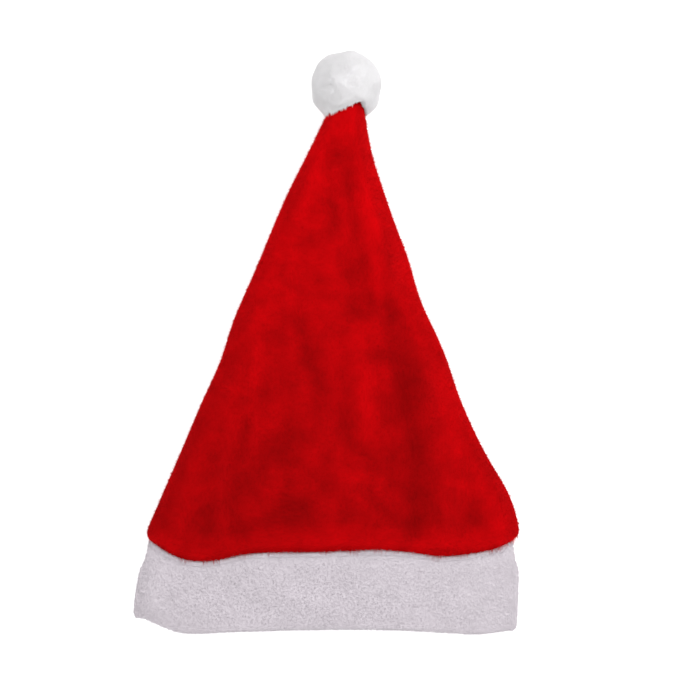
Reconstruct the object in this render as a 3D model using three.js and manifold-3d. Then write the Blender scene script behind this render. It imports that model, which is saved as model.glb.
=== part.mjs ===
// A plush santa hat that lies flat on its back: a red crown, a white folded cuff and a white pompom.
// Millimetres. X runs across the hat, Y from its mouth to its pompom, and Z up from the surface it lies on.
import * as THREE from "three";
import { mergeVertices } from "three/addons/utils/BufferGeometryUtils.js";
import Module from "manifold-3d";

// Driving dimensions
const hatWidth = 290; // across the cuff, laid flat
const hatThickness = 40; // of the flattened cuff, from its back to its front
const cuffHeight = 63; // from the lower edge to the seam
const cuffWall = 10; // plush folded double
const crownLength = 334; // from the seam to the tip
const crownWall = 3; // plush, its pile included
const crownTipCap = 7; // length over which the tip flattens to its sewn end
const crownTipSlant = 9; // how much further the tip's right corner reaches than its left
const tipSunk = 13; // how deep the tip sits in the pompom
const seamRoll = 7; // length over which the crown rolls in to the seam
const seamFade = 16; // length over which the crown's folds fade out towards the seam
const pompomDiameter = 53;
const pompomHeight = 50; // a little flattened where it rests
const lockLength = 10; // of one lock of the pompom's pile, its root included
const lockRelief = 4.5; // how far a lock stands out of the pompom's head
const lockRadius = 6;
const pieceGap = 0.3; // between sewn pieces

// Counts
const overSteps = 34; // points of a section over the upper layer
const underSteps = 20; // and back under the lower layer
const crownSteps = 21;
const rollSteps = 3;
const capSteps = 3;
const cuffSteps = 4;
const cuffEdgeSteps = 5;
const lockCount = 80;
const lockSides = 5;
const headSides = 14;
const headRings = 9;

// Form of a flattened section: a crowned upper layer, and a lower one that is flat where it rests
const edgeCrowding = 0.7; // 0 spreads a section's points evenly, 1 crowds them at its two edges
const overBulge = { power: 2.6, root: 2 };
const underBulge = { power: 5, root: 2 };
const edgeHeight = 0.42; // height of the side edges, as a share of the section's thickness
const underSlack = 3; // how much further the lower layer would hang without the surface
const hollowEnd = 0.5; // flatness of the hollow where it ends in the tip
const tipNarrowing = 0.25; // share of its width that the crown loses where its tip is sewn flat
const lockShoulder = { radius: 0.62, up: 0.78 }; // where a lock's sides turn in to its tip

// The crown's sections, from the seam up. left and right are shares of hatWidth from the hat's axis,
// top is a share of hatThickness, and lift a share of half the pompom, which holds the tip up.
const crownSections = [
  { up: 0, left: -0.467, right: 0.495, top: 0.93, lift: 0 },
  { up: 0.02, left: -0.464, right: 0.497, top: 0.97, lift: 0 },
  { up: 0.06, left: -0.443, right: 0.486, top: 0.95, lift: 0 },
  { up: 0.115, left: -0.417, right: 0.465, top: 0.92, lift: 0 },
  { up: 0.171, left: -0.389, right: 0.428, top: 0.89, lift: 0 },
  { up: 0.309, left: -0.324, right: 0.352, top: 0.82, lift: 0 },
  { up: 0.405, left: -0.284, right: 0.305, top: 0.77, lift: 0 },
  { up: 0.475, left: -0.254, right: 0.279, top: 0.73, lift: 0 },
  { up: 0.558, left: -0.211, right: 0.24, top: 0.68, lift: 0 },
  { up: 0.641, left: -0.17, right: 0.215, top: 0.63, lift: 0 },
  { up: 0.724, left: -0.132, right: 0.178, top: 0.57, lift: 0.03 },
  { up: 0.807, left: -0.091, right: 0.145, top: 0.51, lift: 0.18 },
  { up: 0.89, left: -0.043, right: 0.114, top: 0.45, lift: 0.52 },
  { up: 0.944, left: -0.014, right: 0.103, top: 0.41, lift: 0.82 },
  { up: 1, left: 0.01, right: 0.098, top: 0.38, lift: 1 },
];

// The cuff's sections, from its lower edge up to the seam, in the same shares
const cuffSections = [
  { up: 0, left: -0.497, right: 0.495, top: 0.97 },
  { up: 0.4, left: -0.488, right: 0.498, top: 1 },
  { up: 0.75, left: -0.476, right: 0.5, top: 0.98 },
  { up: 1, left: -0.466, right: 0.493, top: 0.93 },
];

// How far the seam and the cuff's lower edge lie above their lowest line, on the upper layer and under it,
// as shares of cuffHeight. across is -1 at the left edge and 1 at the right one.
const seamOver = [
  { across: -1, rise: 0.13 },
  { across: -0.9, rise: -0.02 },
  { across: -0.8, rise: -0.1 },
  { across: -0.69, rise: -0.125 },
  { across: -0.58, rise: -0.085 },
  { across: -0.46, rise: -0.025 },
  { across: -0.1, rise: -0.005 },
  { across: 0.28, rise: 0.02 },
  { across: 0.42, rise: 0 },
  { across: 0.6, rise: -0.055 },
  { across: 0.76, rise: -0.03 },
  { across: 0.9, rise: 0.03 },
  { across: 1, rise: 0.14 },
];
const seamUnder = [
  { across: -1, rise: 0.13 },
  { across: -0.7, rise: -0.02 },
  { across: 0, rise: 0.02 },
  { across: 0.6, rise: -0.03 },
  { across: 1, rise: 0.14 },
];
const lowerEdgeOver = [
  { across: -1, rise: 0.19 },
  { across: -0.92, rise: 0.13 },
  { across: -0.79, rise: 0.02 },
  { across: -0.5, rise: 0.035 },
  { across: -0.1, rise: 0.06 },
  { across: 0.4, rise: 0.055 },
  { across: 0.65, rise: 0.02 },
  { across: 0.82, rise: -0.005 },
  { across: 1, rise: 0.03 },
];
const lowerEdgeUnder = [
  { across: -1, rise: 0.19 },
  { across: -0.75, rise: 0.08 },
  { across: 0, rise: 0.05 },
  { across: 0.7, rise: 0.04 },
  { across: 1, rise: 0.03 },
];

// Folds and dents of the crown, each a soft crease from one place to another. up and across are places on
// the crown, reach is half the crease's width as a share of hatWidth, and height a share of hatThickness.
const crownFoldsOver = [
  { name: "long ridge, tip", fromUp: 0.95, fromAcross: 0.25, toUp: 0.62, toAcross: 0.62, reach: 0.04, height: 0.09 },
  { name: "long ridge, middle", fromUp: 0.62, fromAcross: 0.62, toUp: 0.34, toAcross: 0.74, reach: 0.055, height: 0.14 },
  { name: "long ridge, foot", fromUp: 0.34, fromAcross: 0.74, toUp: 0.02, toAcross: 0.58, reach: 0.06, height: 0.13 },
  { name: "long valley, tip", fromUp: 0.9, fromAcross: -0.1, toUp: 0.6, toAcross: 0.32, reach: 0.04, height: -0.06 },
  { name: "long valley, middle", fromUp: 0.6, fromAcross: 0.36, toUp: 0.34, toAcross: 0.5, reach: 0.05, height: -0.11 },
  { name: "long valley, foot", fromUp: 0.34, fromAcross: 0.5, toUp: 0.03, toAcross: 0.38, reach: 0.05, height: -0.12 },
  { name: "left ridge", fromUp: 0.55, fromAcross: -0.84, toUp: 0.08, toAcross: -0.6, reach: 0.026, height: 0.07 },
  { name: "left valley", fromUp: 0.22, fromAcross: -0.5, toUp: 0.04, toAcross: -0.48, reach: 0.034, height: -0.08 },
  { name: "slanting valley", fromUp: 0.5, fromAcross: -0.42, toUp: 0.2, toAcross: 0.26, reach: 0.04, height: -0.06 },
  { name: "middle swell", fromUp: 0.47, fromAcross: 0.28, toUp: 0.28, toAcross: 0.24, reach: 0.06, height: 0.06 },
  { name: "upper pit", fromUp: 0.25, fromAcross: -0.3, toUp: 0.2, toAcross: -0.28, reach: 0.04, height: -0.06 },
  { name: "lower pit", fromUp: 0.12, fromAcross: -0.25, toUp: 0.07, toAcross: -0.16, reach: 0.045, height: -0.08 },
  { name: "slanting crease", fromUp: 0.11, fromAcross: 0.04, toUp: 0.03, toAcross: 0.27, reach: 0.026, height: -0.07 },
  { name: "right pit", fromUp: 0.1, fromAcross: 0.74, toUp: 0.07, toAcross: 0.78, reach: 0.035, height: -0.06 },
];
const crownFoldsUnder = [
  { name: "left hollow", fromUp: 0.6, fromAcross: -0.3, toUp: 0.18, toAcross: -0.5, reach: 0.05, height: 0.08 },
  { name: "middle hollow", fromUp: 0.34, fromAcross: 0.1, toUp: 0.1, toAcross: 0.02, reach: 0.045, height: 0.07 },
  { name: "right hollow", fromUp: 0.55, fromAcross: 0.5, toUp: 0.12, toAcross: 0.6, reach: 0.05, height: 0.08 },
];
const cuffDentsOver = [
  { name: "left crease", fromUp: 0.55, fromAcross: -0.86, toUp: 0.9, toAcross: -0.72, reach: 0.03, height: -0.07 },
  { name: "left dent", fromUp: 0.2, fromAcross: -0.52, toUp: 0.7, toAcross: -0.5, reach: 0.05, height: -0.05 },
  { name: "middle swell", fromUp: 0.4, fromAcross: -0.1, toUp: 0.5, toAcross: 0.1, reach: 0.07, height: 0.03 },
  { name: "right dent", fromUp: 0.3, fromAcross: 0.46, toUp: 0.8, toAcross: 0.5, reach: 0.05, height: -0.05 },
];

const wasm = await Module();
wasm.setup();

const { lerp, clamp } = THREE.MathUtils;
const quarterTurn = Math.PI / 2;
const pompomRadius = pompomDiameter / 2;
const edgeRadius = cuffWall / 2; // of the cuff's folded edges
const seamTuck = (cuffWall - crownWall) / 2; // puts the crown's rim on the middle of the cuff's wall

// A table as a function of its first column: a smooth curve through its rows, for each other column
function smooth(rows) {
  const columns = Object.keys(rows[0]);
  const places = rows.map((row) => row[columns[0]]);
  const values = rows.flatMap((row) => columns.map((column) => row[column]));
  const curve = new THREE.CubicInterpolant(places, values, columns.length);
  return (place) => {
    const result = curve.evaluate(clamp(place, places[0], places.at(-1)));
    return Object.fromEntries(columns.map((column, i) => [column, result[i]]));
  };
}

const crownAt = smooth(crownSections);
const cuffAt = smooth(cuffSections);
const seamRise = { over: smooth(seamOver), under: smooth(seamUnder) };
const lowerEdgeRise = { over: smooth(lowerEdgeOver), under: smooth(lowerEdgeUnder) };

// The places round a section: over the upper layer from left to right, then back under the lower one
function placesRound() {
  const spread = (share) => lerp(2 * share - 1, -Math.cos(Math.PI * share), edgeCrowding);
  const over = Array.from({ length: overSteps }, (_, i) => ({ across: spread(i / overSteps), layer: "over" }));
  const under = Array.from({ length: underSteps }, (_, i) => ({
    across: spread(1 - i / underSteps),
    layer: "under",
  }));
  return [...over, ...under];
}
const stations = placesRound();

const bulge = (across, { power, root }) => (1 - Math.min(1, Math.abs(across)) ** power) ** (1 / root);
const seamY = ({ across, layer }) => seamRise[layer](across).rise * cuffHeight;
const lowerEdgeY = ({ across, layer }) => (lowerEdgeRise[layer](across).rise - 1) * cuffHeight;

// The crown's section at a share up its length, in millimetres
function crownSection(up) {
  const { left, right, top, lift } = crownAt(up);
  const under = (lift * pompomHeight) / 2;
  return { left: left * hatWidth, right: right * hatWidth, top: top * hatThickness + under, under };
}

// The cuff's section at a share of the way from its lower edge to the seam
function cuffSection(up) {
  const { left, right, top } = cuffAt(up);
  return { left: left * hatWidth, right: right * hatWidth, top: top * hatThickness, under: 0 };
}

// A place on a flattened section, inset from its outside, as x and z
function onSection({ left, right, top, under }, { across, layer }, inset) {
  const middle = (left + right) / 2;
  const half = (right - left) / 2 - inset;
  const edge = lerp(under, top, edgeHeight);
  const x = middle + half * across;
  if (layer === "over") {
    return { x, z: edge + (top - inset - edge) * bulge(across, overBulge) };
  }
  const hanging = edge - (edge - under - inset + underSlack) * bulge(across, underBulge);
  return { x, z: Math.max(under + inset, hanging) };
}

// Height that the creases of a table add at a place on a piece whose plan is given by the function planAt
function relief(creases, planAt, place) {
  const here = planAt(place.up, place.across);
  return creases.reduce((sum, { fromUp, fromAcross, toUp, toAcross, reach, height }) => {
    const crease = new THREE.Line3(planAt(fromUp, fromAcross), planAt(toUp, toAcross));
    const nearest = crease.closestPointToPoint(here, true, new THREE.Vector3());
    const away = here.distanceTo(nearest) / (reach * hatWidth);
    return sum + height * hatThickness * Math.exp(-away * away);
  }, 0);
}

function crownPlan(up, across) {
  const { left, right } = crownSection(up);
  return new THREE.Vector3(lerp(left, right, (1 + across) / 2), up * crownLength, 0);
}

function cuffPlan(up, across) {
  const { left, right } = cuffSection(up);
  return new THREE.Vector3(lerp(left, right, (1 + across) / 2), up * cuffHeight, 0);
}

const edgeFade = (across) => 1 - Math.abs(across) ** 6;

// One loop round the crown: inset from its outside, and flattened where the tip closes.
// raise adds to the upper layer, and further moves the loop on along Y.
function crownLoop({ up, inset, flatten = 1, raise = 0, further = 0 }) {
  const section = crownSection(up);
  const middleX = (section.left + section.right) / 2;
  const middleZ = (section.top + section.under) / 2;
  const narrow = 1 - tipNarrowing * (1 - flatten);
  return stations.map((station) => {
    const { across, layer } = station;
    const creases = layer === "over" ? crownFoldsOver : crownFoldsUnder;
    const seamward = clamp((up * crownLength) / seamFade, 0, 1);
    const fold = relief(creases, crownPlan, { up, across }) * edgeFade(across) * seamward;
    const raised = layer === "over" ? raise * bulge(across, overBulge) : 0;
    const { x, z } = onSection(section, station, inset);
    const start = seamY(station) + pieceGap;
    const y = lerp(start, crownLength, up) + (crownTipSlant / 2) * across * up ** 8 + further;
    return new THREE.Vector3(
      middleX + (x - middleX) * narrow,
      y,
      middleZ + (z + fold + raised - middleZ) * flatten,
    );
  });
}

const middleOf = (loop) => loop.reduce((sum, p) => sum.add(p), new THREE.Vector3()).divideScalar(loop.length);

// A closed surface through loops of equally many points. closed joins the last loop to the first;
// otherwise each end closes on the middle of its loop.
function surface(loops, closed) {
  const round = loops[0].length;
  const points = loops.flat();
  const faces = [];
  const last = closed ? loops.length : loops.length - 1;
  for (let row = 0; row < last; row++) {
    const here = row * round;
    const next = ((row + 1) % loops.length) * round;
    for (let i = 0; i < round; i++) {
      const j = (i + 1) % round;
      faces.push(here + i, next + j, next + i, here + i, here + j, next + j);
    }
  }
  if (!closed) {
    const end = (loops.length - 1) * round;
    points.push(middleOf(loops[0]), middleOf(loops.at(-1)));
    for (let i = 0; i < round; i++) {
      const j = (i + 1) % round;
      faces.push(points.length - 2, j, i, points.length - 1, end + i, end + j);
    }
  }
  const geometry = new THREE.BufferGeometry().setFromPoints(points);
  geometry.setIndex(faces);
  geometry.computeVertexNormals();
  return geometry;
}

// The crown's outside from seam to tip, as loops. outset swells it, and raise adds to its upper layer.
function crownOutside({ outset = 0, raise = 0 } = {}) {
  const loops = [];
  const swollen = { raise, further: outset };
  for (let i = 0; i < rollSteps; i++) {
    const turn = (i / rollSteps) * quarterTurn;
    const up = (seamRoll * (1 - Math.cos(turn))) / crownLength;
    loops.push(crownLoop({ up, inset: seamTuck * (1 - Math.sin(turn)) - outset, ...swollen }));
  }
  for (let i = 0; i <= crownSteps; i++) {
    const up = lerp(seamRoll, crownLength - crownTipCap, i / crownSteps) / crownLength;
    loops.push(crownLoop({ up, inset: -outset, ...swollen }));
  }
  for (let i = 1; i <= capSteps; i++) {
    const turn = (i / (capSteps + 0.5)) * quarterTurn;
    const up = 1 - (crownTipCap * (1 - Math.sin(turn))) / crownLength;
    loops.push(crownLoop({ up, inset: -outset, flatten: Math.cos(turn), ...swollen }));
  }
  return loops;
}

// The crown's hollow, from where the tip is sewn shut down to the seam
function crownInside() {
  const loops = [];
  const closedAt = crownLength - crownTipCap - crownWall;
  loops.push(crownLoop({ up: closedAt / crownLength, inset: crownWall, flatten: hollowEnd }));
  for (let i = crownSteps - 1; i >= 0; i--) {
    const up = lerp(seamRoll, crownLength - crownTipCap, i / crownSteps) / crownLength;
    loops.push(crownLoop({ up, inset: crownWall }));
  }
  for (let i = rollSteps - 1; i >= 0; i--) {
    const turn = (i / rollSteps) * quarterTurn;
    const up = (seamRoll * (1 - Math.cos(turn))) / crownLength;
    loops.push(crownLoop({ up, inset: crownWall + seamTuck * (1 - Math.sin(turn)) }));
  }
  return loops;
}

function crown() {
  return surface([...crownInside(), ...crownOutside()], false);
}

// One loop round the cuff: share of the way up its straight wall, then past it along Y, inset from outside
function cuffLoop({ share, past, inset }) {
  const section = cuffSection(share);
  return stations.map((station) => {
    const { across, layer } = station;
    const bottom = lowerEdgeY(station) + edgeRadius;
    const y = lerp(bottom, seamY(station) - edgeRadius, share) + past;
    const dent = layer === "over" ? relief(cuffDentsOver, cuffPlan, { up: share, across }) : 0;
    const { x, z } = onSection(section, station, inset);
    return new THREE.Vector3(x, y, z + dent * edgeFade(across) * Math.sin(Math.PI * share));
  });
}

// The cuff is a wall with round edges, bent into a flattened ring
function cuff() {
  const loops = [];
  const wall = (inset, share) => loops.push(cuffLoop({ share, past: 0, inset }));
  const edge = (share, side, from) => {
    for (let i = 1; i < cuffEdgeSteps; i++) {
      const turn = from + (i / cuffEdgeSteps) * Math.PI;
      const past = side * edgeRadius * Math.abs(Math.sin(turn));
      loops.push(cuffLoop({ share, past, inset: edgeRadius * (1 - Math.cos(turn)) }));
    }
  };
  for (let i = 0; i <= cuffSteps; i++) wall(0, i / cuffSteps);
  edge(1, 1, 0);
  for (let i = cuffSteps; i >= 0; i--) wall(cuffWall, i / cuffSteps);
  edge(0, -1, Math.PI);
  return surface(loops, true);
}

// A geometry as a solid for joining and cutting, and back
function solid(geometry) {
  const bare = geometry.clone();
  bare.deleteAttribute("normal");
  bare.deleteAttribute("uv");
  const merged = mergeVertices(bare, 1e-4);
  return new wasm.Manifold(
    new wasm.Mesh({
      numProp: 3,
      vertProperties: new Float32Array(merged.attributes.position.array),
      triVerts: new Uint32Array(merged.index.array),
    }),
  );
}

function geometryOf(manifold) {
  const { vertProperties, triVerts } = manifold.getMesh();
  const geometry = new THREE.BufferGeometry();
  geometry.setAttribute("position", new THREE.BufferAttribute(vertProperties, 3));
  geometry.setIndex(new THREE.BufferAttribute(triVerts, 1));
  geometry.computeVertexNormals();
  return geometry;
}

// One lock of pile, its root at the origin and its tip along Z
function lock() {
  const profile = [
    new THREE.Vector2(0, 0),
    new THREE.Vector2(lockRadius, 0),
    new THREE.Vector2(lockShoulder.radius * lockRadius, lockShoulder.up * lockLength),
    new THREE.Vector2(0, lockLength),
  ];
  return new THREE.LatheGeometry(profile, lockSides).rotateX(quarterTurn);
}

// Directions spread evenly over a ball
function evenDirections(count) {
  const goldenAngle = Math.PI * (3 - Math.sqrt(5));
  return Array.from({ length: count }, (_, i) => {
    const z = 1 - (2 * i + 1) / count;
    const ring = Math.sqrt(1 - z * z);
    return new THREE.Vector3(ring * Math.cos(i * goldenAngle), ring * Math.sin(i * goldenAngle), z);
  });
}

// The pompom: a head with locks all over it, hollowed where the crown's tip is sunk in it
function pompom() {
  const headRadius = pompomRadius - lockRelief;
  const flatten = new THREE.Matrix4().makeScale(1, 1, pompomHeight / pompomDiameter);
  const along = new THREE.Vector3(0, 0, 1);
  const tip = crownSection(1);
  const centre = new THREE.Vector3((tip.left + tip.right) / 2, crownLength + pompomRadius - tipSunk, pompomHeight / 2);
  let form = solid(new THREE.SphereGeometry(headRadius, headSides, headRings));
  for (const direction of evenDirections(lockCount)) {
    const root = direction.clone().multiplyScalar(pompomRadius - lockLength);
    const turned = lock().applyQuaternion(new THREE.Quaternion().setFromUnitVectors(along, direction));
    form = form.add(solid(turned.translate(root.x, root.y, root.z)));
  }
  const ball = geometryOf(form).applyMatrix4(flatten).translate(centre.x, centre.y, centre.z);
  const parting = surface(crownOutside({ outset: pieceGap, raise: pompomHeight / 2 }), false);
  const bodies = solid(ball).subtract(solid(parting)).decompose();
  return geometryOf(bodies.reduce((most, body) => (body.volume() > most.volume() ? body : most)));
}

const redPlush = new THREE.MeshStandardMaterial({ color: 0xb5060b, roughness: 0.95, metalness: 0 });
const whitePlush = new THREE.MeshStandardMaterial({ color: 0xe9e4e8, roughness: 0.95, metalness: 0 });
const whitePompom = new THREE.MeshStandardMaterial({ color: 0xf2f1f2, roughness: 0.95, metalness: 0 });

function named(name, geometry, material) {
  const mesh = new THREE.Mesh(geometry, material);
  mesh.name = name;
  return mesh;
}

// The origin is under the middle of the whole hat, on the surface that it lies on
const hat = new THREE.Group();
hat.add(named("crown", crown(), redPlush), named("cuff", cuff(), whitePlush), named("pompom", pompom(), whitePompom));
const box = new THREE.Box3().setFromObject(hat);
hat.position.set(-(box.min.x + box.max.x) / 2, -(box.min.y + box.max.y) / 2, -box.min.z);

export default hat;
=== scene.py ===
"""The looks of a plush santa hat that lies flat on its back, seen from straight above.

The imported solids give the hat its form. Here each one is replaced by a smooth fabric body with finer folds,
and by a pile of short strands that grow from it.
All is in metres: X goes across the hat, Y from its mouth to its pompom, and Z up.
"""
import math

import bmesh
import bpy
import numpy as np
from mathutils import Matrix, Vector
from mathutils.bvhtree import BVHTree
from mathutils.kdtree import KDTree


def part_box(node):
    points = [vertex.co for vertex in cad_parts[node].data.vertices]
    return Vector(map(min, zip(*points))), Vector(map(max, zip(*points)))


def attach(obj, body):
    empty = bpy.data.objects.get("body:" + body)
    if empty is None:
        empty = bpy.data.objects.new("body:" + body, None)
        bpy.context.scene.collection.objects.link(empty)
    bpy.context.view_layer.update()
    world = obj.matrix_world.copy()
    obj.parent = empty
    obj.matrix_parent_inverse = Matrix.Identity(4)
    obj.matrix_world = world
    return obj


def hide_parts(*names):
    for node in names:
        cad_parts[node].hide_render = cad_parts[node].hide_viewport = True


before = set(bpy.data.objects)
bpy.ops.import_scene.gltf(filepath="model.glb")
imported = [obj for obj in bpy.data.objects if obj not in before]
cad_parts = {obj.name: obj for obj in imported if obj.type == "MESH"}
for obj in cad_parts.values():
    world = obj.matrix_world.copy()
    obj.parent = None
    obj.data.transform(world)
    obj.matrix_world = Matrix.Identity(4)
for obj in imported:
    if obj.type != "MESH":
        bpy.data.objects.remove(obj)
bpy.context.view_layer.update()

MM = 0.001
BODY = "root"
OUTSIDE = 0  # material index of the faces with pile
INSIDE = 1  # and of the fabric's knitted back, in the hollow
WELD = 0.01 * MM  # points closer together than this are one
TINY = 1e-12  # keeps a division by a length of 0 from failing

# The photograph's frame: its width on the hat's level, and its middle in the hat's own frame
VIEW_WIDTH = 511 * MM
VIEW_MIDDLE = Vector((10.5 * MM, 2.3 * MM, 18 * MM))
CAMERA_HEIGHT = 1.8
SENSOR = 36.0

# Light: from all round, from the upper right as seen from above, and through the paper
SKY = 1.25
KEY = 1.12
KEY_WIDTH = 30
KEY_FROM = (0.42, 0.3, 1.0)
PAPER_SIZE = 6
PAPER_GREY = 0.93
PAPER_ROUGHNESS = 0.9
PAPER_GLOW = 0.4

# Fabric bodies: how often they are subdivided, and how far from a bent face its line of sight starts
SMOOTH_LEVELS = 2
CLEAR_OF_FACE = 1.0 * MM

# A field of ripples: how many waves it adds up, how their lengths spread round the wanted one,
# and its peak, which brings it to about -1 to 1
RIPPLE_WAVES = 32
RIPPLE_SPREAD = (0.7, 1.4)
RIPPLE_PEAK = 1.5
SEEDS = {"crown_dents": 11, "crown_wrinkles": 12, "lip": 13, "cuff_dents": 21, "lumps": 31, "rim": 32}

# Relief finer than the solids have: height and wavelength of soft dents and of long wrinkles,
# and how the wrinkles' grain is drawn out along the hat
CROWN_DENT = 0.6 * MM
CROWN_DENT_WAVE = 34 * MM
CROWN_WRINKLE = 0.3 * MM
CROWN_WRINKLE_WAVE = 18 * MM
CROWN_WRINKLE_GRAIN = np.array([1.0, 0.22, 0.4])
CUFF_DENT = 0.4 * MM
CUFF_DENT_WAVE = 40 * MM

# The crown's outline: what subdivision takes from its side edges, how far it bends to the right and where
# along the hat, and how far its lower right corner reaches out over the cuff and where that fades in
EDGE_SWELL = 1.2 * MM
SIDE_BEND = 3.0 * MM
SIDE_BEND_AT = -13 * MM
SIDE_BEND_REACH = 25 * MM
RIGHT_LOBE = 2.0 * MM
RIGHT_LOBE_ACROSS = (90 * MM, 140 * MM)
RIGHT_LOBE_UP = (0.1, 0.25)

# Shares of the crown's length over which its relief fades in at the seam, and out at the tip
RELIEF_FROM_SEAM = (0.0, 0.08)
RELIEF_TO_TIP = (0.9, 1.0)

# The cuff: how far its cloth lies inside its solid, to leave room for its pile, how much its side edges
# swell, and where along the hat the swelling ends below the crown
CUFF_INSET = 0.8 * MM
CUFF_SWELL = 2.2 * MM
CUFF_SWELL_END = (-172 * MM, -162 * MM)

# The pompom's core: how far it lies inside its solid, the size of its mesh, how it is smoothed, its lumps
# as a share of its radius, and the shares of its radius over which the solid's locks turn into a ball
BALL_INSET = 1.0 * MM
BALL_VOXEL = 1.2 * MM
BALL_SMOOTHING = 0.5
BALL_SMOOTHING_ROUNDS = 5
BALL_LUMP = 0.026
BALL_LUMP_WAVE = 16 * MM
BALL_SHELL = (0.74, 0.86)

# The pompom round the crown's tip: how far off it is looked at, how steeply it rises from the tip,
# and the distance over which it gets twice as steep
TIP_PARTING = 10 * MM
TIP_SLOPE = 1.0
TIP_RIM = 6 * MM

# Seams: pieces closer together than this are drawn to each other, and each gives this share of the gap
SEAM_REACH = 5 * MM
SEAM_PULL = 0.42
FLOOR_GAP = 0.2 * MM  # how far pressed pile stays above the floor

# How far a normal points up, or to the side, where one stretch of a piece fades into the next
CROWN_TOP = (0.5, 0.95)
CUFF_TOP = (0.4, 0.9)
SIDE_EDGE = (0.2, 0.8)
SIDEWAYS = (0.3, 0.8)
OVER_UNDER = (-0.35, 0.0)

# The crown's folds: a line on the upper layer in millimetres, how wide the fold is, and how far it rises
FOLDS = (
    {"line": ((75, -5), (82, -50), (84, -95), (83, -140)), "reach": 6, "rise": -0.7},
    {"line": ((8, 130), (13, 100), (18, 70), (24, 48), (30, 25), (37, 0)), "reach": 6, "rise": 1.5},
    {"line": ((18, 150), (26, 110), (34, 80), (42, 52), (50, 20)), "reach": 6, "rise": -1.1},
    {"line": ((50, 25), (57, 10), (65, -20), (69, -80), (69, -142)), "reach": 11, "rise": -2.7},
    {"line": ((-57, 25), (-71, -28), (-77, -84), (-78, -125)), "reach": 5, "rise": 0.7},
    {"line": ((-60, -60), (-67, -95), (-69, -137)), "reach": 6, "rise": -2.2},
    {"line": ((-6, -15), (8, -35), (4, -58)), "reach": 7, "rise": 1.4},
    {"line": ((12, -62), (37, -95)), "reach": 7, "rise": -1.2},
    {"line": ((43, -22), (49, -48)), "reach": 7, "rise": 1.8},
    {"line": ((-36, -28), (-34, -62)), "reach": 8, "rise": 0.8},
    {"line": ((33, 10), (36, -20), (39, -58)), "reach": 14, "rise": 1.2},
    {"line": ((28, -106), (48, -130)), "reach": 6, "rise": -1.5},
    {"line": ((-38, -72), (-28, -88)), "reach": 9, "rise": -1.6},
    {"line": ((-36, -128), (-16, -124)), "reach": 9, "rise": -1.8},
    {"line": ((100, -118), (108, -132)), "reach": 8, "rise": -0.7},
    {"line": ((-98, -118), (-84, -140)), "reach": 9, "rise": -0.5},
)

# Bands of painted shade on the crown where its folds lie in shade, and of painted light where the shade is
# below 0: line and width as above, and how much darker the colour is made
PAINTED_SHADE_BANDS = (
    {"line": ((50, 18), (58, -3), (68, -32), (73, -75), (79, -125)), "reach": 14, "shade": 0.29},
    {"line": ((55, -4), (66, -22), (68, -40)), "reach": 9, "shade": 0.12},
    {"line": ((-34, 86), (-46, 58), (-56, 28)), "reach": 8, "shade": -0.1},
    {"line": ((43, 74), (45, 55), (47, 30)), "reach": 7, "shade": 0.22},
    {"line": ((20, 145), (23, 120)), "reach": 7, "shade": 0.15},
    {"line": ((-2, 155), (-6, 125)), "reach": 8, "shade": -0.14},
    {"line": ((84, -25), (92, -45), (104, -78)), "reach": 7, "shade": -0.12},
    {"line": ((-66, -88), (-70, -115), (-79, -138)), "reach": 8, "shade": 0.17},
    {"line": ((-28, -104), (-22, -138)), "reach": 8, "shade": 0.12},
    {"line": ((44, -118), (34, -138)), "reach": 7, "shade": 0.13},
    {"line": ((86, -134), (118, -136)), "reach": 7, "shade": 0.12},
    {"line": ((-118, -138), (-95, -146)), "reach": 8, "shade": 0.12},
)

# How bright the crown's pile is at its lower end, and the painted light that it gains up to the tip, over
# which places, and to the right, round which place and how fast: brighter towards the upper right, where the
# key light comes from
LOW_TONE = 0.87
HIGH_PAINTED_LIGHT = 0.25
HIGH_PAINTED_LIGHT_ALONG = (-150 * MM, 150 * MM)
RIGHT_PAINTED_LIGHT = 0.09
RIGHT_PAINTED_LIGHT_MIDDLE = 20 * MM
RIGHT_PAINTED_LIGHT_WIDTH = 50 * MM

# Painted shade: pile that lies in a hollow is coloured darker, as if shade fell there: how much, the depth
# that counts, the surroundings that it is told by, and how far a point's normal has to point up to count
HOLLOW_PAINTED_SHADE = 0.24
HOLLOW_SHADE_DEPTH = 1.3 * MM
HOLLOW_SHADE_CELL = 3 * MM
HOLLOW_SHADE_REACH = 3
HOLLOW_SHADE_TOP = 0.3
HOLLOW_SHADE_FLAT = (0.8, 0.97)
SHADE_BAND_FLAT = (0.5, 0.9)

# Painted light: pile is coloured brighter where it lies in shade, at the crown's side edges, where it folds
# over at the crown's lower edge, beside that on the cuff, and on the pompom round the crown's tip
EDGE_PAINTED_LIGHT = 0.08
EDGE_FLAT = (0.5, 0.96)
LIP_PAINTED_LIGHT = 0.2
LIP_FLAT = (0.8, 1.0)
LIP_WIDTH = 6 * MM
BESIDE_LIP_PAINTED_LIGHT = 0.15
BESIDE_LIP_WIDTH = 3 * MM
RIM_PAINTED_LIGHT = 0.1
RIM_WIDTH = 3.5 * MM
FROM_BELOW = (-0.1, 0.1)

# Strands: how their lengths and widths spread, how they are turned, how deep they stand in the fabric,
# the shortest one that is kept, how far they look for another piece, and how far towards it they go
STRAND_LENGTHS = (0.65, 1.1)
STRAND_WIDTHS = (0.7, 1.3)
STRAND_TURN = 0.3
STRAND_ROOT = 0.25 * MM
SHORTEST_STRAND = 0.2 * MM
LOOK_AHEAD = 1.2
STOP_SHORT = 0.8
PILE_SEEDS = {"first": 100, "drift": 1, "tufts": 7, "mesh": 9}

# How much of a strand's own roundness shows in its shading, and how far its normals lean to the sky,
# because light that enters the pile leaves it at any side
STRAND_ROUNDNESS = 0.12
SKY_LEAN = np.array([0.0, 0.0, 0.6])

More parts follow.
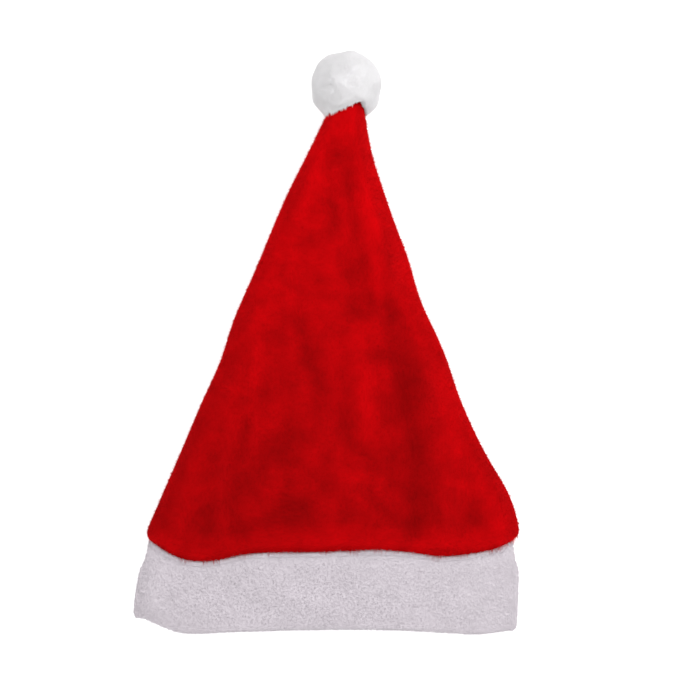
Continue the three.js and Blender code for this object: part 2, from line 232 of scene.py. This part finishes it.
# Cloth: its gloss, and the patches and the fine relief of the pile
CLOTH_SPECULAR = 0.04
SHEEN_ROUGHNESS = 0.5
PLUSH_ROUGHNESS = 0.9
PATCH_DETAIL = 4
PATCH_RANGE = (0.3, 0.7)
FIBRE_SCALE = 900
FIBRE_DETAIL = 3
FIBRE_STRENGTH = 0.1
FIBRE_HEIGHT = 0.5 * MM

# The knitted back, with its ribs
KNIT_ROUGHNESS = 0.95
KNIT_SHEEN = 0.1
RIB_SCALE = 200
RIB_WOBBLE = 2.0
RIB_DETAIL = 2.0
RIB_STRENGTH = 0.6
RIB_HEIGHT = 0.4 * MM


def numbers(collection, attribute, width):
    """An attribute of a mesh's elements as rows of numbers."""
    flat = np.empty(len(collection) * width, np.float32)
    collection.foreach_get(attribute, flat)
    return flat.reshape(-1, width).astype(float)


def unit(vectors):
    """The vectors at length 1."""
    return vectors / np.maximum(np.linalg.norm(vectors, axis=1, keepdims=True), TINY)


def ripples(points, wavelength, seed):
    """A smooth random field, mostly from -1 to 1, with that wavelength: a sum of plane waves."""
    rng = np.random.default_rng(seed)
    ways = unit(rng.normal(size=(RIPPLE_WAVES, 3)))
    pace = 2 * math.pi / (wavelength * rng.uniform(*RIPPLE_SPREAD, RIPPLE_WAVES))
    phase = rng.uniform(0, 2 * math.pi, RIPPLE_WAVES)
    waves = np.cos((points @ ways.T) * pace + phase)
    return waves.sum(1) / math.sqrt(RIPPLE_WAVES / 2) / RIPPLE_PEAK


def fade(value, start, end):
    """0 up to start, 1 from end on, and smooth between."""
    share = np.clip((value - start) / (end - start), 0, 1)
    return share * share * (3 - 2 * share)


def new_object(name, mesh):
    """A mesh as an object in the scene."""
    obj = bpy.data.objects.new(name, mesh)
    bpy.context.scene.collection.objects.link(obj)
    return obj


def applied(obj):
    """The object's mesh with its modifiers applied."""
    graph = bpy.context.evaluated_depsgraph_get()
    obj.data = bpy.data.meshes.new_from_object(obj.evaluated_get(graph))
    obj.modifiers.clear()
    return obj


def smooth_copy(node, name):
    """A node's mesh as quads, subdivided. Its faces that look into the hollow get the index INSIDE."""
    made = bmesh.new()
    made.from_mesh(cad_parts[node].data)
    bmesh.ops.remove_doubles(made, verts=made.verts, dist=WELD)
    bmesh.ops.join_triangles(
        made, faces=made.faces, angle_face_threshold=math.pi, angle_shape_threshold=math.pi
    )
    tree = BVHTree.FromBMesh(made)
    for face in made.faces:
        face.smooth = True
        start = face.calc_center_median() + face.normal * CLEAR_OF_FACE
        met = tree.ray_cast(start, face.normal)[0]
        face.material_index = OUTSIDE if met is None else INSIDE
    mesh = bpy.data.meshes.new(name)
    made.to_mesh(mesh)
    made.free()
    obj = new_object(name, mesh)
    obj.modifiers.new("smooth", "SUBSURF").levels = SMOOTH_LEVELS
    return applied(obj)


def in_hollow(mesh):
    """Which points of a mesh of quads look into the hollow."""
    corners = numbers(mesh.loops, "vertex_index", 1).astype(int).reshape(-1, 4)
    index = numbers(mesh.polygons, "material_index", 1)[:, 0]
    inside = np.zeros(len(mesh.vertices), bool)
    inside[corners[index == INSIDE]] = True
    return inside


def displace(obj, shift):
    """Moves each point by shift(points, normals, inside), and keeps all above the floor."""
    mesh = obj.data
    points = numbers(mesh.vertices, "co", 3)
    normals = numbers(mesh.vertices, "normal", 3)
    points += shift(points, normals, in_hollow(mesh))
    points[:, 2] = np.maximum(points[:, 2], FLOOR_GAP)
    mesh.vertices.foreach_set("co", points.astype(np.float32).ravel())
    mesh.update()


def drawn_to(obj, other):
    """Moves what lies close to another piece most of the way to the middle of the gap."""
    mesh = obj.data
    points = numbers(mesh.vertices, "co", 3)
    for point in points:
        near, _, _, gap = other.find_nearest(Vector(point), SEAM_REACH)
        if near is not None:
            share = SEAM_PULL * (1 - fade(gap, SEAM_REACH / 2, SEAM_REACH))
            point += (np.array(near) - point) * share
    mesh.vertices.foreach_set("co", points.astype(np.float32).ravel())
    mesh.update()


def set_tone(mesh, tone):
    """Keeps how bright each point is, with 1 as the plain colour: painted shade and painted light, and random
    tone.
    """
    mesh.attributes.new("tone", "FLOAT", "POINT").data.foreach_set("value", tone.astype(np.float32))


def moving_sum(grid, reach):
    """The sum of each cell's surroundings, twice over, so that near cells count more."""
    for axis in (0, 0, 1, 1):
        grid = sum(np.roll(grid, step, axis) for step in range(-reach, reach + 1))
    return grid


def depth_in_surroundings(points):
    """How far each point lies below the mean height around it."""
    cell = np.floor(points[:, :2] / HOLLOW_SHADE_CELL).astype(int)
    margin = 2 * HOLLOW_SHADE_REACH
    cell -= cell.min(0) - margin
    shape = cell.max(0) + 1 + margin
    total, count = np.zeros(shape), np.zeros(shape)
    np.add.at(total, tuple(cell.T), points[:, 2])
    np.add.at(count, tuple(cell.T), 1)
    mean = moving_sum(total, HOLLOW_SHADE_REACH) / np.maximum(moving_sum(count, HOLLOW_SHADE_REACH), 1)
    return mean[tuple(cell.T)] - points[:, 2]


def roots_on(obj, count, seed, wanted):
    """Random places on an object, with the normals and tones there. wanted weighs the faces' middles."""
    mesh = obj.data
    mesh.calc_loop_triangles()
    corners = numbers(mesh.loop_triangles, "vertices", 3).astype(int)
    index = numbers(mesh.loop_triangles, "material_index", 1)[:, 0]
    points = numbers(mesh.vertices, "co", 3)
    normals = numbers(mesh.vertices, "normal", 3)
    a, b, c = (points[corners[:, i]] for i in range(3))
    cross = np.cross(b - a, c - a)
    weight = np.linalg.norm(cross, axis=1) * wanted((a + b + c) / 3, unit(cross), index)
    rng = np.random.default_rng(seed)
    total = np.cumsum(weight)
    spread = (np.arange(count) + rng.uniform(0, 1, count)) / count * total[-1]
    chosen = np.minimum(np.searchsorted(total, spread), len(total) - 1)
    u, v = rng.uniform(0, 1, count), rng.uniform(0, 1, count)
    over = u + v > 1
    u[over], v[over] = 1 - u[over], 1 - v[over]
    share = np.stack([1 - u - v, u, v], axis=1)[:, :, None]
    place = (points[corners[chosen]] * share).sum(1)
    facing = unit((normals[corners[chosen]] * share).sum(1))
    tones = numbers(mesh.attributes["tone"].data, "value", 1)[:, 0]
    tone = (tones[corners[chosen]] * share[:, :, 0]).sum(1)
    return place, facing, tone


def clumped(roots, ways, lengths, tuft, strength, seed):
    """Turns the strands towards the middles of small tufts, tuft metres wide."""
    rng = np.random.default_rng(seed)
    order = rng.permutation(len(roots))
    cell = np.floor(roots[order] / tuft).astype(int)
    first = np.unique(cell, axis=0, return_index=True)[1]
    heads = order[first]
    tree = KDTree(len(heads))
    for i, head in enumerate(heads):
        tree.insert(roots[head], i)
    tree.balance()
    near = heads[[tree.find(root)[1] for root in roots]]
    tips = roots + ways * lengths[:, None]
    gather = roots[near] + ways[near] * lengths[:, None]
    return unit(tips + (gather - tips) * strength - roots)


def near_any(tree, places, reach):
    """Which places lie within reach of a tree's surface."""
    return np.array([tree.find_nearest(Vector(place), reach)[0] is not None for place in places])


def kept_clear(roots, ways, lengths, other):
    """Shortens the strands that would run into the other piece."""
    for i in np.nonzero(near_any(other, roots, float(lengths.max()) * LOOK_AHEAD))[0]:
        distance = other.ray_cast(Vector(roots[i]), Vector(ways[i]), lengths[i] * LOOK_AHEAD)[3]
        if distance is not None:
            lengths[i] = min(lengths[i], STOP_SHORT * distance)
    return lengths


def strands_mesh(name, roots, ways, facing, lengths, tone, width, seed):
    """One mesh of closed slim spikes, three-sided, with soft normals that follow the fabric."""
    count = len(roots)
    rng = np.random.default_rng(seed)
    side = unit(np.cross(ways, facing) + rng.normal(0, STRAND_TURN, (count, 3)))
    side = unit(side - ways * (side * ways).sum(1, keepdims=True))
    other = np.cross(ways, side)
    radius = width / 2 * rng.uniform(*STRAND_WIDTHS, count)
    foot = roots - facing * STRAND_ROOT
    points = np.empty((count, 4, 3))
    normals = np.empty((count, 4, 3))
    for corner in range(3):
        turn = 2 * math.pi * corner / 3
        out = side * math.cos(turn) + other * math.sin(turn)
        points[:, corner] = foot + out * radius[:, None]
        normals[:, corner] = unit(facing + STRAND_ROUNDNESS * out + SKY_LEAN)
    points[:, 3] = roots + ways * lengths[:, None]
    normals[:, 3] = unit(facing + STRAND_ROUNDNESS * ways + SKY_LEAN)
    points[:, :, 2] = np.maximum(points[:, :, 2], FLOOR_GAP)
    faces = np.array([[0, 1, 3], [1, 2, 3], [2, 0, 3], [2, 1, 0]])
    corners = (np.arange(count)[:, None, None] * 4 + faces).reshape(-1)
    mesh = bpy.data.meshes.new(name)
    mesh.vertices.add(count * 4)
    mesh.vertices.foreach_set("co", points.astype(np.float32).ravel())
    mesh.loops.add(len(corners))
    mesh.loops.foreach_set("vertex_index", corners.astype(np.int32))
    mesh.polygons.add(count * 4)
    mesh.polygons.foreach_set("loop_start", np.arange(0, len(corners), 3, dtype=np.int32))
    mesh.polygons.foreach_set("use_smooth", np.ones(count * 4, bool))
    rise = np.tile(np.array([0, 0, 0, 1], np.float32), count)
    mesh.attributes.new("rise", "FLOAT", "POINT").data.foreach_set("value", rise)
    set_tone(mesh, np.repeat(tone, 4))
    mesh.update(calc_edges=True)
    mesh.normals_split_custom_set_from_vertices(normals.reshape(-1, 3))
    return mesh


def pile(name, fabric, count, seed, wanted):
    """A piece of pile that grows on a fabric and stays clear of the piece beside it."""
    look = fabric["look"]
    rng = np.random.default_rng(seed)
    roots, facing, tone = roots_on(fabric["piece"], count, seed, wanted)
    drift_seed = seed + PILE_SEEDS["drift"]
    drift = np.stack([ripples(roots, look["swirl"], drift_seed + i) for i in range(3)], axis=1)
    brushed, stretch = look["nap"](roots, facing)
    lean = drift * look["wander"] + brushed
    lean -= facing * (lean * facing).sum(1, keepdims=True)
    ways = unit(facing + lean + rng.normal(0, look["jitter"], (count, 3)))
    lengths = look["length"] * stretch * rng.uniform(*STRAND_LENGTHS, count)
    ways = clumped(roots, ways, lengths, look["tuft"], look["clump"], seed + PILE_SEEDS["tufts"])
    lengths = kept_clear(roots, ways, lengths, fabric["beside"])
    tone *= 1 + look["uneven"] * rng.uniform(-1, 1, count)
    keep = lengths > SHORTEST_STRAND
    mesh = strands_mesh(
        name, roots[keep], ways[keep], facing[keep], lengths[keep], tone[keep],
        look["width"], seed + PILE_SEEDS["mesh"],
    )
    return new_object(name, mesh)


def new_material(name, roughness, sheen, tint):
    """A cloth's material, its shader and the place on the object that its patterns go by."""
    material = bpy.data.materials.new(name)
    material.use_nodes = True
    nodes = material.node_tree.nodes
    shader = nodes["Principled BSDF"]
    shader.inputs["Roughness"].default_value = roughness
    shader.inputs["Specular IOR Level"].default_value = CLOTH_SPECULAR
    shader.inputs["Sheen Weight"].default_value = sheen
    shader.inputs["Sheen Roughness"].default_value = SHEEN_ROUGHNESS
    shader.inputs["Sheen Tint"].default_value = (*tint, 1)
    place = nodes.new("ShaderNodeTexCoord").outputs["Object"]
    return material, shader, place


def noise(tree, place, scale, detail):
    """A noise pattern's value."""
    pattern = tree.nodes.new("ShaderNodeTexNoise")
    pattern.inputs["Scale"].default_value = scale
    pattern.inputs["Detail"].default_value = detail
    tree.links.new(place, pattern.inputs["Vector"])
    return pattern.outputs["Fac"]


def colour_mix(tree, share, first, second):
    """A colour from first to second, by share."""
    blend = tree.nodes.new("ShaderNodeMix")
    blend.data_type = "RGBA"
    blend.inputs["A"].default_value = (*first, 1)
    blend.inputs["B"].default_value = (*second, 1)
    tree.links.new(share, blend.inputs["Factor"])
    return blend.outputs["Result"]


def scaled(tree, colour, factor):
    """A colour made brighter or darker by factor."""
    shade = tree.nodes.new("ShaderNodeVectorMath")
    shade.operation = "SCALE"
    tree.links.new(colour, shade.inputs[0])
    tree.links.new(factor, shade.inputs["Scale"])
    return shade.outputs["Vector"]


def bumped(tree, shader, height, strength, distance):
    """Gives a shader a fine relief."""
    relief = tree.nodes.new("ShaderNodeBump")
    relief.inputs["Strength"].default_value = strength
    relief.inputs["Distance"].default_value = distance
    tree.links.new(height, relief.inputs["Height"])
    tree.links.new(relief.outputs["Normal"], shader.inputs["Normal"])


def plush(name, root, tip, patch, depth, sheen):
    """A pile's material: from root to tip colour along a strand, darker at the root as painted shade, with
    soft uneven patches.
    """
    material, shader, place = new_material(name, PLUSH_ROUGHNESS, sheen, tip)
    tree = material.node_tree
    rise = tree.nodes.new("ShaderNodeAttribute")
    rise.attribute_name = "rise"
    tone = tree.nodes.new("ShaderNodeAttribute")
    tone.attribute_name = "tone"
    spread = tree.nodes.new("ShaderNodeMapRange")
    spread.inputs["From Min"].default_value = PATCH_RANGE[0]
    spread.inputs["From Max"].default_value = PATCH_RANGE[1]
    spread.inputs["To Min"].default_value = 1 - depth
    spread.inputs["To Max"].default_value = 1 + depth
    tree.links.new(noise(tree, place, patch, PATCH_DETAIL), spread.inputs["Value"])
    # Darker at the root: painted shade deep in the pile
    colour = colour_mix(tree, rise.outputs["Fac"], root, tip)
    # The tone scales the colour: painted shade and painted light, and random tone
    colour = scaled(tree, scaled(tree, colour, tone.outputs["Fac"]), spread.outputs["Result"])
    tree.links.new(colour, shader.inputs["Base Color"])
    bumped(tree, shader, noise(tree, place, FIBRE_SCALE, FIBRE_DETAIL), FIBRE_STRENGTH, FIBRE_HEIGHT)
    return material


def knit(name, shaded_valley, rib):
    """The knitted back of the plush, with fine ribs along the hat, coloured darker between them as painted
    shade.
    """
    material, shader, place = new_material(name, KNIT_ROUGHNESS, KNIT_SHEEN, rib)
    tree = material.node_tree
    ribs = tree.nodes.new("ShaderNodeTexWave")
    ribs.inputs["Scale"].default_value = RIB_SCALE
    ribs.inputs["Distortion"].default_value = RIB_WOBBLE
    ribs.inputs["Detail"].default_value = RIB_DETAIL
    tree.links.new(place, ribs.inputs["Vector"])
    tree.links.new(colour_mix(tree, ribs.outputs["Fac"], shaded_valley, rib), shader.inputs["Base Color"])
    bumped(tree, shader, ribs.outputs["Fac"], RIB_STRENGTH, RIB_HEIGHT)
    return material


def tree_of(obj):
    """An object's faces, to look for the nearest one or the first one on a ray."""
    made = bmesh.new()
    made.from_mesh(obj.data)
    tree = BVHTree.FromBMesh(made)
    made.free()
    return tree


# Colours at a strand's root and at its tip, the root darker as painted shade deep in the pile, and of the
# knit between its ribs and on them
RED_SHADED_ROOT = (0.34, 0.0, 0.001)
RED_TIP = (0.395, 0.0, 0.001)
WHITE_SHADED_ROOT = (0.53, 0.49, 0.525)
WHITE_TIP = (0.55, 0.51, 0.545)
BALL_SHADED_ROOT = (0.855, 0.845, 0.855)
BALL_TIP = (0.875, 0.865, 0.875)
# The knit is darker between its ribs: painted shade in the grooves
RED_SHADED_VALLEY = (0.25, 0.0, 0.002)
RED_RIB = (0.36, 0.0, 0.004)
WHITE_SHADED_VALLEY = (0.55, 0.53, 0.54)
WHITE_RIB = (0.68, 0.66, 0.67)

# How the crown's pile is brushed, and by how much more at its lip, which hangs over the seam, and at the end
# of the tip. Both begin where they are this far from the crown's end and look this far to the mouth, up or
# to the tip. There the strands are longer, at the lip by an uneven amount.
CROWN_BRUSH = np.array([0.0, -0.45, 0.0])
LIP_BRUSH = np.array([0.0, -0.7, -0.3])
LIP_SPAN = (16 * MM, 26 * MM)
LIP_TO_MOUTH = (0.15, 0.6)
LIP_UP = (-0.3, 0.0)
LIP_STRETCH = 1.4
LIP_UNEVEN = 0.6
LIP_WAVE = 14 * MM
END_BRUSH = np.array([0.0, 1.2, 0.0])
END_SPAN = (-12 * MM, -7 * MM)
END_TO_TIP = (0.0, 0.5)
END_STRETCH = 0.6

# The cuff's pile within this reach of the crown: how it is brushed, how much longer, and from which slope on
BUNCH_REACH = 5 * MM
BUNCH_BRUSH = np.array([0.0, 0.3, 0.6])
BUNCH_STRETCH = 0.9
BUNCH_UP = (-0.3, 0.2)

# The same for the pompom's pile round the crown's tip, with its uneven ends
FALL_BRUSH = np.array([0.0, -0.8, 0.6])
FALL_STRETCH = 0.9
FALL_UP = (-0.2, 0.2)
FALL_UNEVEN = 0.7
FALL_WAVE = 5 * MM


def crown_nap(roots, facing):
    """The red pile is brushed towards the mouth. It hangs over the seam, and over the end of the tip."""
    low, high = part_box("crown")
    near_seam = 1 - fade(roots[:, 1] - low.y, *LIP_SPAN)
    lip = near_seam * fade(-facing[:, 1], *LIP_TO_MOUTH) * fade(facing[:, 2], *LIP_UP)
    end = fade(roots[:, 1] - high.y, *END_SPAN) * fade(facing[:, 1], *END_TO_TIP)
    brushed = CROWN_BRUSH + lip[:, None] * LIP_BRUSH + end[:, None] * END_BRUSH
    lip_stretch = LIP_STRETCH + LIP_UNEVEN * ripples(roots, LIP_WAVE, SEEDS["lip"])
    return brushed, 1 + lip_stretch * lip + END_STRETCH * end


def cuff_nap(roots, facing):
    """The cuff's pile stands up straight, and is bunched up against the crown where the two meet."""
    meets = near_any(crown_tree, roots, BUNCH_REACH) * fade(facing[:, 2], *BUNCH_UP)
    return meets[:, None] * BUNCH_BRUSH, 1 + BUNCH_STRETCH * meets


def ball_nap(roots, facing):
    """Round the crown's tip the pompom's pile falls over it."""
    meets = near_any(crown_tree, roots, RIM_WIDTH) * fade(facing[:, 2], *FALL_UP)
    stretch = FALL_STRETCH + FALL_UNEVEN * ripples(roots, FALL_WAVE, SEEDS["rim"])
    return meets[:, None] * FALL_BRUSH, 1 + stretch * meets


# How each pile looks: strands' length and width, how they are brushed, how their way swirls and over which
# distance, how it jitters, how wide the tufts are and how far strands lean to them, and how tones differ
CROWN_PILE = {
    "length": 1.9 * MM, "width": 0.34 * MM, "nap": crown_nap, "swirl": 30 * MM, "wander": 0.25,
    "jitter": 0.16, "tuft": 2.5 * MM, "clump": 0.12, "uneven": 0.08,
}
CUFF_PILE = {
    "length": 1.4 * MM, "width": 0.54 * MM, "nap": cuff_nap, "swirl": 30 * MM, "wander": 0.12,
    "jitter": 0.05, "tuft": 2.0 * MM, "clump": 0.02, "uneven": 0.01,
}
BALL_PILE = {
    "length": 1.9 * MM, "width": 0.46 * MM, "nap": ball_nap, "swirl": 14 * MM, "wander": 0.12,
    "jitter": 0.13, "tuft": 3.0 * MM, "clump": 0.05, "uneven": 0.01,
}


def nearness(points, band):
    """1 on a band's line, and less the further a place lies from it."""
    flat = points[:, :2] / MM
    line = np.array(band["line"], float)
    gap = np.full(len(points), np.inf)
    for start, end in zip(line[:-1], line[1:]):
        along = end - start
        share = np.clip((flat - start) @ along / (along @ along), 0, 1)
        gap = np.minimum(gap, np.linalg.norm(flat - start - share[:, None] * along, axis=1))
    return np.exp(-((gap / band["reach"]) ** 2))


def fold_height(points):
    """How far the folds lift the upper layer at each place."""
    return sum(fold["rise"] * MM * nearness(points, fold) for fold in FOLDS)


def crown_shift(points, normals, inside):
    """Folds, soft dents and long wrinkles in the upper layer, on both of its sides."""
    low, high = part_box("crown")
    up = (points[:, 1] - low.y) / (high.y - low.y)
    dents = ripples(points, CROWN_DENT_WAVE, SEEDS["crown_dents"]) * CROWN_DENT
    grain = points * CROWN_WRINKLE_GRAIN
    wrinkles = ripples(grain, CROWN_WRINKLE_WAVE, SEEDS["crown_wrinkles"]) * CROWN_WRINKLE
    away_from_ends = fade(up, *RELIEF_FROM_SEAM) * (1 - fade(up, *RELIEF_TO_TIP))
    upper_layer = fade(np.where(inside, -normals[:, 2], normals[:, 2]), *CROWN_TOP)
    side_edge = (1 - fade(np.abs(normals[:, 2]), *SIDE_EDGE)) * ~inside * away_from_ends
    shift = normals * (EDGE_SWELL * side_edge)[:, None]
    shift[:, 2] += (dents + wrinkles + fold_height(points)) * away_from_ends * upper_layer
    shift[:, 0] += SIDE_BEND * np.exp(-(((points[:, 1] - SIDE_BEND_AT) / SIDE_BEND_REACH) ** 2))
    low_right = fade(points[:, 0], *RIGHT_LOBE_ACROSS) * (1 - fade(up, *RIGHT_LOBE_UP))
    shift[:, 0] += RIGHT_LOBE * low_right
    return shift


def cuff_shift(points, normals, inside):
    """Room for the pile, fuller side edges, and soft dents on top."""
    dents = ripples(points, CUFF_DENT_WAVE, SEEDS["cuff_dents"]) * CUFF_DENT * fade(normals[:, 2], *CUFF_TOP)
    below_crown = 1 - fade(points[:, 1], *CUFF_SWELL_END)
    upright = 1 - fade(np.abs(normals[:, 2]), *SIDE_EDGE)
    side_edge = upright * fade(np.abs(normals[:, 0]), *SIDEWAYS) * ~inside
    return normals * (dents - CUFF_INSET + CUFF_SWELL * side_edge * below_crown)[:, None]


def soft_ball():
    """The pompom's core: the node's form, its locks drawn in to a slightly uneven ball."""
    low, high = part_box("pompom")
    half = (high - low) / 2
    made = bmesh.new()
    made.from_mesh(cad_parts["pompom"].data)
    bmesh.ops.remove_doubles(made, verts=made.verts, dist=WELD)
    mesh = bpy.data.meshes.new("pompom_core")
    made.to_mesh(mesh)
    made.free()
    obj = evenly_meshed(new_object("pompom_core", mesh))
    points = numbers(obj.data.vertices, "co", 3)
    middle = np.array([low.x + half.x, high.y - half.x, low.z + half.z])
    radii = np.array([half.x, half.x, half.z]) - BALL_INSET
    offset = (points - middle) / radii
    reach = np.linalg.norm(offset, axis=1)
    uneven = 1 + ripples(points, BALL_LUMP_WAVE, SEEDS["lumps"]) * BALL_LUMP
    new_reach = reach + (uneven - reach) * fade(reach, *BALL_SHELL)
    points = middle + offset * (new_reach / reach)[:, None] * radii
    points[:, 2] = np.minimum(points[:, 2], slope_round_tip(points))
    obj.data.vertices.foreach_set("co", points.astype(np.float32).ravel())
    evenly_meshed(obj)
    smooth = obj.modifiers.new("smooth", "SMOOTH")
    smooth.factor = BALL_SMOOTHING
    smooth.iterations = BALL_SMOOTHING_ROUNDS
    return applied(obj)


def evenly_meshed(obj):
    """The object with a mesh of small even quads."""
    remesh = obj.modifiers.new("even", "REMESH")
    remesh.mode = "VOXEL"
    remesh.voxel_size = BALL_VOXEL
    remesh.use_smooth_shade = True
    return applied(obj)


def slope_round_tip(points):
    """How high the pompom may be at each place, so that it slopes down to the crown's tip."""
    limit = np.full(len(points), np.inf)
    for i, point in enumerate(points):
        near = crown_tree.find_nearest(Vector(point), TIP_PARTING)[0]
        if near is not None and point[2] > near.z:
            away = math.hypot(point[0] - near.x, point[1] - near.y)
            limit[i] = near.z + TIP_SLOPE * away * (1 + (away / TIP_RIM) ** 2)
    return limit


def over(middles, normals, index):
    """The upper layer and the side edges."""
    return (index == OUTSIDE) * fade(normals[:, 2], *OVER_UNDER)


def under(middles, normals, index):
    """The layer that the hat lies on."""
    return (index == OUTSIDE) * (1 - fade(normals[:, 2], *OVER_UNDER))


def mouth(middles, normals, index):
    """The cuff's inner side."""
    return (index == INSIDE).astype(float)


def all_round(middles, normals, index):
    """The whole surface."""
    return np.ones(len(middles))


def crown_shade_and_tone(mesh):
    """How bright the crown's pile is: painted shade in folds and bands, and painted light to the tip, to the
    right and at the edges and the lip.
    """
    places = numbers(mesh.vertices, "co", 3)
    level = numbers(mesh.vertices, "normal", 3)[:, 2]
    on_top = (level > HOLLOW_SHADE_TOP) & ~in_hollow(mesh)
    depth = np.zeros(len(places))
    depth[on_top] = depth_in_surroundings(places[on_top])
    # Painted shade: darker colour where the pile lies in a hollow of the folds
    painted_fold_shade = HOLLOW_PAINTED_SHADE * np.tanh(depth / HOLLOW_SHADE_DEPTH) * fade(level, *HOLLOW_SHADE_FLAT)
    # Painted shade along the bands, and painted light where a band's shade is below 0
    painted_band_shade = sum(band["shade"] * nearness(places, band) for band in PAINTED_SHADE_BANDS) * fade(level, *SHADE_BAND_FLAT)
    # Painted light: brighter towards the tip and to the right, where the key light comes from
    high = HIGH_PAINTED_LIGHT * fade(places[:, 1], *HIGH_PAINTED_LIGHT_ALONG)
    painted_light_rightward = RIGHT_PAINTED_LIGHT * np.tanh((places[:, 0] - RIGHT_PAINTED_LIGHT_MIDDLE) / RIGHT_PAINTED_LIGHT_WIDTH)
    upper = fade(level, *FROM_BELOW)
    # Painted light at the side edges and at the lip, where the pile lies in shade
    painted_edge_light = EDGE_PAINTED_LIGHT * upper * (1 - fade(level, *EDGE_FLAT))
    lip = LIP_PAINTED_LIGHT * upper * (1 - fade(level, *LIP_FLAT)) * near_any(cuff_tree, places, LIP_WIDTH)
    return (LOW_TONE + high) * (1 + painted_light_rightward) * (1 - painted_fold_shade) * (1 - painted_band_shade) * (1 + painted_edge_light) * (1 + lip)


def painted_light_beside(mesh, gain, reach):
    """Plain pile, brighter by gain within reach of the crown: painted light where the crown shades it."""
    return 1 + gain * near_any(crown_tree, numbers(mesh.vertices, "co", 3), reach)


# Bodies of fabric, and how bright each place of theirs is, with painted shade and painted light in it
crown = smooth_copy("crown", "crown_fabric")
displace(crown, crown_shift)
cuff = smooth_copy("cuff", "cuff_fabric")
displace(cuff, cuff_shift)
crown_tree, cuff_tree = tree_of(crown), tree_of(cuff)
drawn_to(cuff, crown_tree)
drawn_to(crown, cuff_tree)
crown_tree, cuff_tree = tree_of(crown), tree_of(cuff)
ball = soft_ball()
drawn_to(ball, crown_tree)

set_tone(crown.data, crown_shade_and_tone(crown.data))
set_tone(cuff.data, painted_light_beside(cuff.data, BESIDE_LIP_PAINTED_LIGHT, BESIDE_LIP_WIDTH))
set_tone(ball.data, painted_light_beside(ball.data, RIM_PAINTED_LIGHT, RIM_WIDTH))

red = plush("red_plush", RED_SHADED_ROOT, RED_TIP, patch=80, depth=0.11, sheen=0.08)
white = plush("white_plush", WHITE_SHADED_ROOT, WHITE_TIP, patch=60, depth=0.04, sheen=0.3)
snow = plush("white_pompom", BALL_SHADED_ROOT, BALL_TIP, patch=70, depth=0.03, sheen=0.3)
red_back = knit("red_backing", RED_SHADED_VALLEY, RED_RIB)
white_back = knit("white_backing", WHITE_SHADED_VALLEY, WHITE_RIB)

fabrics = {
    "crown": {
        "piece": crown, "beside": cuff_tree, "look": CROWN_PILE,
        "pile": red, "back": red_back, "slot": "red_plush",
    },
    "cuff": {
        "piece": cuff, "beside": crown_tree, "look": CUFF_PILE,
        "pile": white, "back": white_back, "slot": "white_plush",
    },
    "pompom": {
        "piece": ball, "beside": crown_tree, "look": BALL_PILE,
        "pile": snow, "back": snow, "slot": "white_pompom",
    },
}
piles = (
    {"name": "crown_pile_over", "on": "crown", "strands": 48000, "where": over},
    {"name": "crown_pile_under", "on": "crown", "strands": 24000, "where": under},
    {"name": "cuff_pile_over", "on": "cuff", "strands": 46000, "where": over},
    {"name": "cuff_pile_under", "on": "cuff", "strands": 22000, "where": under},
    {"name": "cuff_pile_inside", "on": "cuff", "strands": 16000, "where": mouth},
    {"name": "pompom_pile", "on": "pompom", "strands": 38000, "where": all_round},
)

strands = {"crown": [], "cuff": [], "pompom": []}
for number, item in enumerate(piles, start=1):
    fabric = fabrics[item["on"]]
    obj = pile(item["name"], fabric, item["strands"], PILE_SEEDS["first"] * number, item["where"])
    obj.data.materials.append(fabric["pile"])
    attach(obj, BODY)
    strands[item["on"]].append(obj)

for node, fabric in fabrics.items():
    piece = fabric["piece"]
    piece.data.materials.clear()
    piece.data.materials.append(fabric["pile"])
    piece.data.materials.append(fabric["back"])
    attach(piece, BODY)
    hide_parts(node)


def stage():
    """Pale glowing paper, soft light with more of it from the upper right, and the camera above."""
    bpy.ops.mesh.primitive_plane_add(size=PAPER_SIZE)
    floor = bpy.context.object
    floor.name = "floor"
    paper = bpy.data.materials.new("paper")
    paper.use_nodes = True
    sockets = paper.node_tree.nodes["Principled BSDF"].inputs
    sockets["Base Color"].default_value = (PAPER_GREY, PAPER_GREY, PAPER_GREY, 1)
    sockets["Roughness"].default_value = PAPER_ROUGHNESS
    sockets["Emission Color"].default_value = (1, 1, 1, 1)
    sockets["Emission Strength"].default_value = PAPER_GLOW
    floor.data.materials.append(paper)

    world = bpy.data.worlds.new("studio")
    bpy.context.scene.world = world
    world.use_nodes = True
    world.node_tree.nodes["Background"].inputs["Color"].default_value = (1, 1, 1, 1)
    world.node_tree.nodes["Background"].inputs["Strength"].default_value = SKY

    light = bpy.data.lights.new("key", "SUN")
    light.energy = KEY
    light.angle = math.radians(KEY_WIDTH)
    lamp = bpy.data.objects.new("key", light)
    lamp.rotation_euler = (-Vector(KEY_FROM)).to_track_quat("-Z", "Y").to_euler()
    bpy.context.scene.collection.objects.link(lamp)

    lens = bpy.data.cameras.new("camera")
    lens.sensor_width = SENSOR
    lens.lens = SENSOR * (CAMERA_HEIGHT - VIEW_MIDDLE.z) / VIEW_WIDTH
    camera = bpy.data.objects.new("camera", lens)
    camera.location = (VIEW_MIDDLE.x, VIEW_MIDDLE.y, CAMERA_HEIGHT)
    bpy.context.scene.collection.objects.link(camera)
    bpy.context.scene.camera = camera
    bpy.context.scene.view_settings.view_transform = "Standard"


stage()
